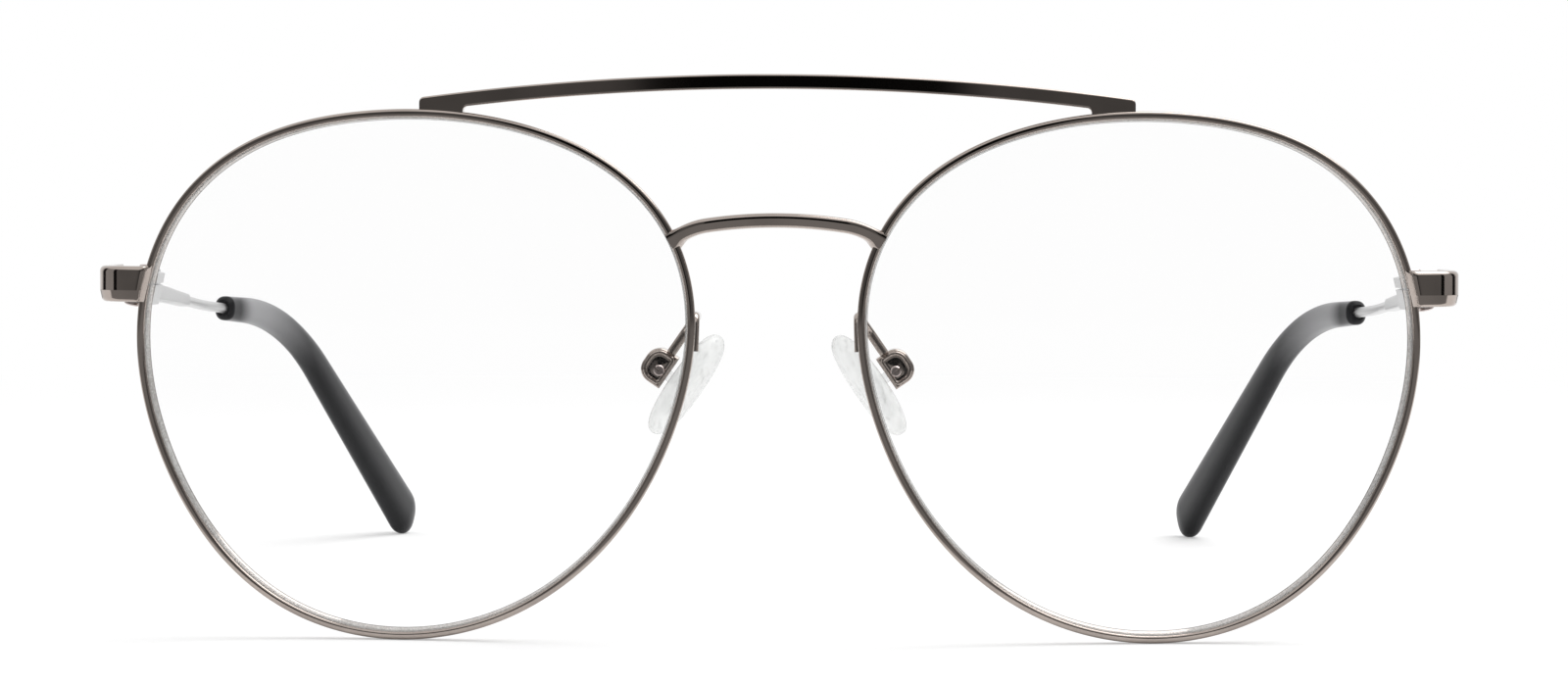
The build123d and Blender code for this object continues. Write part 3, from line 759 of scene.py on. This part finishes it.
def brow_bar_sheets(sizes):
    """Bar bowed on a circle, cut into upright rounded rectangles. Towards each end its lower side
    comes down to the rim, and the notch above the rim is rounded."""
    rims = eye_place(around_edge([(BAR_OVER_RIM, 0.0)], np.linspace(0, np.pi, 721), sizes)[:, 0], sizes)
    top = eye_place(on_sphere(np.array([0.0, sizes.lens_height / MM / 2])), sizes)
    half = NOSE_GAP / 2 + sizes.lens_width / MM / 2 * math.cos(WRAP) - BAR_END_INSET
    foot = half - FOOT_WIDTH
    side = np.concatenate(
        [
            np.linspace(0, foot - NOTCH, 90, endpoint=False),
            foot - NOTCH * np.cos(np.linspace(0, np.pi / 2, 9)),
            np.linspace(foot + 0.01, half - BAR_END_RADIUS - 0.05, 12),
            half - BAR_END_RADIUS * (1 - np.sin(np.linspace(0, np.pi / 2, 10))),
        ]
    )
    x = np.concatenate([-side[:0:-1], side])
    sagitta = math.hypot(BAR_SAG, BAR_BOW)
    radius = (half * half + sagitta * sagitta) / (2 * sagitta)
    share = (np.sqrt(radius * radius - x * x) - radius + sagitta) / sagitta
    middle = EYE_HEIGHT + sizes.lens_height / MM / 2 + BAR_RISE - BAR_SAG * (1 - share)
    y = top[1] - BAR_BOW * share
    away = np.abs(x)
    high = middle + BAR_HEIGHT / 2 - quarter_drop(half - away, BAR_TOP_RADIUS)
    bar_low = middle - BAR_HEIGHT / 2 - quarter_drop(foot - away, NOTCH)
    order = np.argsort(-rims[:, 0])
    rim_low = np.interp(away, -rims[order, 0], rims[order, 2])
    low = np.where(away > foot, rim_low, bar_low)
    deep, tall = BAR_DEPTH / 2, BAR_HEIGHT / 2
    corners = [(-deep, -tall), (deep, -tall), (deep, tall), (-deep, tall)]
    profile = rounded_outline(corners, [BAR_EDGE] * 4)
    upper = profile[:, 1] > 0
    level = np.where(upper, high[:, None] - tall, low[:, None] + tall) + profile[:, 1]
    grid = np.stack([x[:, None] + 0 * level, y[:, None] + profile[:, 0], level], axis=2)
    return [Sheet(grid, close_columns=True, caps=True)]


def bridge_sheets(sizes):
    """Oval bar along a shallow arch with rounded shoulders. Its section swells where it meets the
    rims, leans forward at the top, and ends inside them."""
    level = EYE_HEIGHT + BRIDGE_RISE + BRIDGE_ARCH
    end, shoulder = NOSE_GAP / 2 + BRIDGE_END, NOSE_GAP / 2 + BRIDGE_SHOULDER
    corners = np.array(
        [
            (-end, BRIDGE_DROP - BRIDGE_BOW, level - BRIDGE_DROP),
            (-shoulder, -BRIDGE_BOW, level),
            (shoulder, -BRIDGE_BOW, level),
            (end, BRIDGE_DROP - BRIDGE_BOW, level - BRIDGE_DROP),
        ]
    ) + [0.0, FRONT_SHIFT, 0.0]
    dense, length = rounded_route(corners, [BRIDGE_BEND, BRIDGE_BEND], BRIDGE_POINTS)
    dense[:, 2] -= dense[:, 0] ** 2 / (2 * BRIDGE_ARCH_RADIUS)
    rim = eye_place(around_edge([(0.0, 0.0)], np.linspace(-1, 1.4, 1200), sizes)[:, 0], sizes)
    first_half = dense[: BRIDGE_POINTS // 2, None]
    near = np.linalg.norm(first_half - rim[None], axis=2).min(axis=1).argmin()
    between = slice(near, BRIDGE_POINTS - near, BRIDGE_STEP)
    route = dense[between]
    marks = np.linspace(0, length, BRIDGE_POINTS)[between]
    from_end = np.minimum(marks - marks[0], marks[-1] - marks)
    swell = 1 + BRIDGE_SWELL * np.exp(-((from_end / BRIDGE_SWELL_LENGTH) ** 2))
    turn = np.linspace(0, 2 * np.pi, 48, endpoint=False)
    depth = BRIDGE_DEPTH / 2 * signed_power(np.cos(turn), BRIDGE_POWER)
    height = BRIDGE_HEIGHT / 2 * signed_power(np.sin(turn), BRIDGE_POWER)
    profiles = np.stack([depth + 0 * swell[:, None], height * swell[:, None]], axis=2)
    grid = swept(route, profiles, UPWARD)
    grid[..., 1] -= BRIDGE_LEAN * (grid[..., 2] - route[:, 2, None])
    return [Sheet(grid, close_columns=True, caps=True)]


# End pieces

PANEL_THICKNESS = 1.4
PANEL_HEIGHT = 3.55
PANEL_REACH = 5.05
PANEL_BEND = 2.6
PANEL_LEG_GAP = 0.04
PANEL_RADII = (0.12, 0.45, 0.12, 0.5, 0.12)
PANEL_POINTS = 90
FACET_DEPTH = 0.25
FACET_TOP = 0.35
THIN_LENGTH = 0.6
THIN_SHARE = 0.97
SLANT_LENGTH = 2.5
SLANT = 0.24


def end_piece_sheets(sizes, sign):
    """A flat-fronted bar with a lower facet, carried outwards from the rim and round a bend back to
    the hinge. Its first rings slant with the rim and draw back to a thin edge."""
    point, outward, forward = edge_frame(np.array([LOCK_ANGLE]), sizes)
    place = eye_place(point, sizes)[0]
    ahead = unit(eye_place(forward, sizes, turn_only=True)[0] * np.array([1.0, 1.0, 0.0]))
    away = np.array([ahead[1], -ahead[0], 0.0])
    hinge = np.array(JOINTS["right_temple_fold"]["pos_m"]) / MM
    start = place + ahead * (HALF_RIM + PANEL_THICKNESS / 2) + away * RIM_INNER
    start[2] = hinge[2]
    leg_x = place[0] - PANEL_REACH + PANEL_THICKNESS / 2
    corner = start + away * (leg_x - start[0]) / away[0]
    end = np.array([leg_x, hinge[1] - PANEL_LEG_GAP, hinge[2]])
    route, length = rounded_route([start, corner, end], [PANEL_BEND], PANEL_POINTS)
    half, tall = PANEL_THICKNESS / 2, PANEL_HEIGHT / 2
    facet = [(half - FACET_DEPTH, -tall), (half, -tall * FACET_TOP)]
    profile = rounded_outline([(-half, -tall), *facet, (half, tall), (-half, tall)], PANEL_RADII, 8)
    marks = np.linspace(0, length, PANEL_POINTS)[:, None]
    drawn = np.sqrt(1 - np.clip(1 - marks / THIN_LENGTH, 0, THIN_SHARE) ** 2)
    profiles = np.stack([half - (profile[:, 0] + half) * drawn, profile[:, 1] + 0 * drawn], axis=2)
    grid = swept(route, profiles, UPWARD)
    slant = np.clip(1 - marks / SLANT_LENGTH, 0, 1)
    grid[..., 0] += SLANT * (grid[..., 2] - hinge[2]) * slant
    return [Sheet(mirrored(grid, sign), close_columns=True, caps=True)]


# Temple tips

LEAF_X = -3.2
WIRE_START = 43.5
BEND_DISTANCE = 62.6
BEND_ANGLE = math.radians(15.7)
BEND_RADIUS = 60.0
EAR_DISTANCE = 22.4
EAR_DROP = math.radians(31.5)
EAR_RADIUS = 42.0
TIP_START = 66.5
TIP_TRIAL = 48.0
TIP_ROUND = 3.6
TIP_ROUND_POWER = 2.4
TIP_POWER = 0.8
TIP_THICKNESS = (2.4, 3.0)
TIP_BEND_SHARE = 0.35
LIP_LENGTH = 0.9
LIP_DEPTH = 0.34
FLOOR_GAP = 0.01


def temple_frame():
    """Origin and axes of the temple: x outwards to the left, y along the leaf, z up the hinge pin."""
    joint = JOINTS["right_temple_fold"]
    upward = unit(-np.array(joint["axis"], float))
    across = np.array([1.0, 0.0, 0.0])
    return np.array(joint["pos_m"]) / MM, np.stack([across, np.cross(upward, across), upward])


def tip_grid(sizes, last_length):
    """Sleeve round the wire: an oval whose height and thickness grow towards a rounded end."""
    bend_corner = np.array([LEAF_X, BEND_DISTANCE, 0.0])
    ear = np.array([math.sin(BEND_ANGLE), math.cos(BEND_ANGLE), 0.0])
    down = ear * math.cos(EAR_DROP) + np.array([0.0, 0.0, -math.sin(EAR_DROP)])
    ear_corner = bend_corner + ear * EAR_DISTANCE
    corners = [(LEAF_X, WIRE_START, 0.0), bend_corner, ear_corner, ear_corner + down * last_length]
    route, length = rounded_route(corners, [BEND_RADIUS, EAR_RADIUS], 900)
    first = TIP_START - WIRE_START
    span = length - first
    mouth = np.sin(np.linspace(0, np.pi / 2, 10)) * LIP_LENGTH
    nose = span - TIP_ROUND * (1 - np.sin(np.linspace(0, np.pi / 2, 24)))
    middle = np.linspace(LIP_LENGTH + 0.3, span - TIP_ROUND - 0.3, 120)
    marks = np.concatenate([mouth, middle, nose])
    share = marks / span
    heights = np.array([sizes.tip_front_height, sizes.tip_bend_height, sizes.tip_end_height]) / MM
    height = np.interp(share, [0.0, TIP_BEND_SHARE, 1.0], heights)
    thickness = np.interp(share, [0.0, 1.0], TIP_THICKNESS)
    past = (marks - (span - TIP_ROUND)).clip(0) / TIP_ROUND
    shrink = np.sqrt(np.clip(1 - past**TIP_ROUND_POWER, 0.0004, 1))
    lip = 1 - LIP_DEPTH * (1 - marks / LIP_LENGTH).clip(0) ** 2
    where = (marks + first) / length * (len(route) - 1)

    def along(values):
        return np.stack([np.interp(where, np.arange(len(route)), column) for column in values.T], axis=1)

    points = along(route)
    tangent = unit(along(unit(np.gradient(route, axis=0))))
    turn = np.linspace(0, 2 * np.pi, 64, endpoint=False)
    across = unit(np.stack([tangent[:, 1], -tangent[:, 0], 0 * tangent[:, 0]], axis=1))
    rise = np.cross(across, tangent)
    wide = signed_power(np.cos(turn), TIP_POWER)[None] * (thickness / 2 * shrink * lip)[:, None]
    tall = signed_power(np.sin(turn), TIP_POWER)[None] * (height / 2 * shrink * lip)[:, None]
    return points[:, None] + wide[..., None] * across[:, None] + tall[..., None] * rise[:, None]


def tip_sheets(sizes, sign):
    """The tip, as long as it takes to reach the floor: one step of the secant rule on its end."""
    origin, axes = temple_frame()

    def stood(last_length):
        return origin + tip_grid(sizes, last_length) @ axes

    trial = stood(TIP_TRIAL)
    lower = stood(TIP_TRIAL + 1.0)
    fall = trial[..., 2].min() - lower[..., 2].min()
    grid = stood(TIP_TRIAL + trial[..., 2].min() / fall)
    grid[..., 2] += FLOOR_GAP - min(grid[..., 2].min(), FLOOR_GAP)
    return [Sheet(mirrored(grid, sign), close_columns=True, caps=True)]


# Nose pads

PAD_TILT = math.radians(34.5)
PAD_SPLAY = math.radians(-12.0)
PLATE_CENTRE = 2.75
PAD_FORWARD = 0.3
PAD_RISE = 0.3
PAD_FLAT = 0.55
PAD_FULL = 0.85
BOX_CORNERS = ((0.85, 1.9), (-1.65, 1.9), (-1.65, -1.35), (0.85, -1.35))
BOX_RADII = (0.55, 1.3, 1.3, 0.55)
BOX_LIP = ((0.02, -1.3), (0.0, -1.42), (0.02, -1.54), (0.09, -1.62), (0.2, -1.65), (0.3, -1.62))
BOX_WALL = ((0.36, -1.56), (0.4, -1.53), (0.44, -1.52))
BOX_FLOOR = -1.52
BOX_DISH = 0.08


def pad_place(points, splayed=True):
    """Pad frame to model frame: x towards the nose, y backwards, z along the pad, tilted about Y.
    The pad itself is first splayed about z and set off from its screw, and its box isn't."""
    x, y, z = points[..., 0], points[..., 1], points[..., 2]
    if splayed:
        cosine, sine = math.cos(PAD_SPLAY), math.sin(PAD_SPLAY)
        x, y = x * cosine - y * sine + PLATE_CENTRE, x * sine + y * cosine
        z = z + PAD_RISE
    cosine, sine = math.cos(PAD_TILT), math.sin(PAD_TILT)
    tilted = np.stack([x * cosine + z * sine, y, z * cosine - x * sine], axis=-1)
    return tilted + np.array(JOINTS["right_pad_rock"]["pos_m"]) / MM


def pillow(size, flat, full, rows=28, columns=96):
    """Closed superellipsoid: thickness along x, an oval outline in y and z. A smaller flat gives
    flatter faces, and a smaller full gives a fuller outline."""
    rise = np.linspace(-np.pi / 2, np.pi / 2, rows)[:, None]
    turn = np.linspace(0, 2 * np.pi, columns, endpoint=False)[None]
    reach = signed_power(np.cos(rise).clip(1e-4), flat)
    x = size[0] / 2 * signed_power(np.sin(rise), 0.9) * np.ones_like(turn)
    y = size[1] / 2 * reach * signed_power(np.cos(turn), full)
    z = size[2] / 2 * reach * signed_power(np.sin(turn), full)
    return np.stack([x, y, z], axis=-1)


def pad_sheets(sizes, sign):
    """The soft pad, turned into place on its screw."""
    size = (sizes.pad_thickness / MM, sizes.pad_width / MM, sizes.pad_length / MM)
    grid = pillow(size, PAD_FLAT, PAD_FULL)
    grid[..., 0] += PAD_FORWARD
    return [Sheet(mirrored(pad_place(grid), sign), close_columns=True, caps=True)]


def box_front_sheets(sizes, sign):
    """Dished front of a pad box: rings of its outline, each drawn in by an inset at a depth, raised
    to a lip and then sunk. The last rings shrink to the middle as a shallow parabola."""
    line = rounded_outline(BOX_CORNERS, BOX_RADII, 14)
    centre = line.mean(axis=0)
    ahead = np.roll(line, -1, axis=0) - np.roll(line, 1, axis=0)
    outward = unit(ahead)[:, ::-1] * (1, -1)
    outward *= np.sign(np.sum(outward * (line - centre), axis=1, keepdims=True))
    edge = np.array(BOX_LIP + BOX_WALL)
    shares = np.array([0.8, 0.6, 0.4, 0.2, 0.02])
    walls = line - outward * edge[:, 0, None, None]
    bottom = centre + (walls[-1] - centre) * shares[:, None, None]
    rings = np.concatenate([walls, bottom])
    depths = np.concatenate([edge[:, 1], BOX_FLOOR - BOX_DISH * (1 - shares) ** 2])
    grid = np.stack([rings[..., 0], depths[:, None] + 0 * rings[..., 0], rings[..., 1]], axis=2)
    return [Sheet(mirrored(pad_place(grid, splayed=False), sign), close_columns=True, caps=True)]


# User's values


def length_property(name, description, default):
    """A length in metres that the panel shows in the scene's own unit."""
    return bpy.props.FloatProperty(
        name=name, description=description, default=default, min=0.0001, subtype="DISTANCE", unit="LENGTH"
    )


class GlassesSizes(bpy.types.PropertyGroup):
    lens_width: length_property("Lens width", "Width of a lens seen from the front", 0.0548)
    lens_height: length_property("Lens height", "Height of a lens seen from the front", 0.0517)
    lens_thickness: length_property("Lens thickness", "Thickness of a lens", 0.001)
    tip_front_height: length_property("Tip mouth", "Height of a temple tip at its mouth", 0.0028)
    tip_bend_height: length_property("Tip bend", "Height of a temple tip at its bend", 0.0034)
    tip_end_height: length_property("Tip end", "Height of a temple tip at its end", 0.0060)
    pad_length: length_property("Pad length", "Length of a nose pad", 0.0118)
    pad_width: length_property("Pad width", "Width of a nose pad", 0.0074)
    pad_thickness: length_property("Pad thickness", "Thickness of a nose pad", 0.0027)


def colour_property(name, description, default):
    """A colour with its own swatch in the panel."""
    return bpy.props.FloatVectorProperty(
        name=name, description=description, default=default, min=0.0, max=1.0, subtype="COLOR"
    )


class GlassesColours(bpy.types.PropertyGroup):
    metal: colour_property("Metal", "Colour of the polished dark metal", (0.4, 0.347, 0.315))
    satin: colour_property("Satin metal", "Colour of the temples and hinges", (0.56, 0.56, 0.56))
    steel: colour_property("Screw steel", "Colour of the screws", (0.62, 0.54, 0.52))
    tip: colour_property("Tips", "Colour of the plastic temple tips", (0.013, 0.013, 0.014))
    lens: colour_property("Lens gloss", "Colour of what the lenses mirror", (0.97, 0.98, 1.0))
    pad: colour_property("Pads", "Colour of the clear nose pads", (0.95, 0.96, 0.95))


# Steps


class GLASSES_OT_stage(bpy.types.Operator):
    """Makes the floor, the studio light and the camera"""

    bl_idname = "glasses.stage"
    bl_label = "Stage"

    def execute(self, context):
        add_stage()
        return {"FINISHED"}


class GLASSES_OT_rims(bpy.types.Operator):
    """Makes the two rims with their crowned fronts and lens grooves"""

    bl_idname = "glasses.rims"
    bl_label = "Rims"

    def execute(self, context):
        for side, sign in SIDES:
            sheets = rim_sheets(context.scene.glasses_sizes, sign)
            rim = solid(side + "rim_wire", sheets, finish_named("gunmetal"))
            keep(rim, "front", "gunmetal", side + "rim")
        return {"FINISHED"}


class GLASSES_OT_bars(bpy.types.Operator):
    """Makes the brow bar with its feet and the nose bridge"""

    bl_idname = "glasses.bars"
    bl_label = "Brow bar and bridge"

    def execute(self, context):
        sizes = context.scene.glasses_sizes
        for name, node, sheets in (
            ("upper_bar", "brow_bar", brow_bar_sheets(sizes)),
            ("lower_bar", "nose_bridge", bridge_sheets(sizes)),
        ):
            keep(solid(name, sheets, finish_named("gunmetal")), "front", "gunmetal", node)
        return {"FINISHED"}


class GLASSES_OT_lenses(bpy.types.Operator):
    """Makes the clear lenses with their ground edges"""

    bl_idname = "glasses.lenses"
    bl_label = "Lenses"

    def execute(self, context):
        for side, sign in SIDES:
            sheets = lens_sheets(context.scene.glasses_sizes, sign)
            finishes = [finish_named(name) for name in ("clear_lens", "ground_edge", "edge_line")]
            lens = solid(side + "clear_lens", sheets, *finishes)
            keep(lens, "front", "clear_lens", side + "lens")
        return {"FINISHED"}


class GLASSES_OT_end_pieces(bpy.types.Operator):
    """Makes the faceted end pieces that carry the hinges"""

    bl_idname = "glasses.end_pieces"
    bl_label = "End pieces"

    def execute(self, context):
        for side, sign in SIDES:
            sheets = end_piece_sheets(context.scene.glasses_sizes, sign)
            panel = solid(side + "end_panel", sheets, finish_named("gunmetal"), crease=30.0)
            keep(panel, "front", "gunmetal", side + "end_piece")
        return {"FINISHED"}


class GLASSES_OT_tips(bpy.types.Operator):
    """Makes the plastic temple tips"""

    bl_idname = "glasses.tips"
    bl_label = "Temple tips"

    def execute(self, context):
        for side, sign in SIDES:
            sheets = tip_sheets(context.scene.glasses_sizes, sign)
            tip = solid(side + "tip_sleeve", sheets, finish_named("black_acetate"))
            keep(tip, side + "temple", "black_acetate", side + "temple_tip")
        return {"FINISHED"}


class GLASSES_OT_pads(bpy.types.Operator):
    """Makes the clear nose pads and the dished fronts of their boxes"""

    bl_idname = "glasses.pads"
    bl_label = "Nose pads"

    def execute(self, context):
        for side, sign in SIDES:
            sheets = pad_sheets(context.scene.glasses_sizes, sign)
            pad = solid(side + "soft_pad", sheets, finish_named("clear_silicone"))
            keep(pad, side + "pad", "clear_silicone", side + "nose_pad")
            sheets = box_front_sheets(context.scene.glasses_sizes, sign)
            keep(solid(side + "box_front", sheets, finish_named("gunmetal")), "front", "gunmetal")
        return {"FINISHED"}


class GLASSES_OT_fittings(bpy.types.Operator):
    """Gives the metal fittings and the pads' cores their finishes"""

    bl_idname = "glasses.fittings"
    bl_label = "Fittings"

    def execute(self, context):
        for side, _ in SIDES:
            dark = ("pad_arm", "pad_box")
            satin = ("rim_lock_upper", "rim_lock_lower", "front_hinge", "temple_hinge", "temple")
            screws = ("rim_lock_screw", "hinge_screw", "pad_screw")
            carried("gunmetal", *(side + name for name in dark))
            carried("satin_metal", *(side + name for name in satin))
            carried("screw_steel", *(side + name for name in screws))
            carried("clear_core", side + "pad_core")
        return {"FINISHED"}


class GLASSES_PT_panel(bpy.types.Panel):
    """Lists the sizes, the colours and the steps"""

    bl_idname = "GLASSES_PT_panel"
    bl_label = "Double bridge glasses"
    bl_space_type = "VIEW_3D"
    bl_region_type = "UI"
    bl_category = "Glasses"

    def draw(self, context):
        for group in (context.scene.glasses_sizes, context.scene.glasses_colours):
            for name in type(group).__annotations__:
                self.layout.prop(group, name)
        for step in STEPS:
            self.layout.operator(step.bl_idname)


STEPS = (
    GLASSES_OT_stage,
    GLASSES_OT_fittings,
    GLASSES_OT_rims,
    GLASSES_OT_bars,
    GLASSES_OT_lenses,
    GLASSES_OT_end_pieces,
    GLASSES_OT_tips,
    GLASSES_OT_pads,
)
CLASSES = (GlassesSizes, GlassesColours, *STEPS, GLASSES_PT_panel)


def register():
    for added in CLASSES:
        bpy.utils.register_class(added)
    bpy.types.Scene.glasses_sizes = bpy.props.PointerProperty(type=GlassesSizes)
    bpy.types.Scene.glasses_colours = bpy.props.PointerProperty(type=GlassesColours)


def unregister():
    del bpy.types.Scene.glasses_colours
    del bpy.types.Scene.glasses_sizes
    for added in reversed(CLASSES):
        bpy.utils.unregister_class(added)


def main():
    """Builds everything."""
    register()
    for step in STEPS:
        group, name = step.bl_idname.split(".")
        getattr(getattr(bpy.ops, group), name)()


if __name__ == "__main__":
    main()
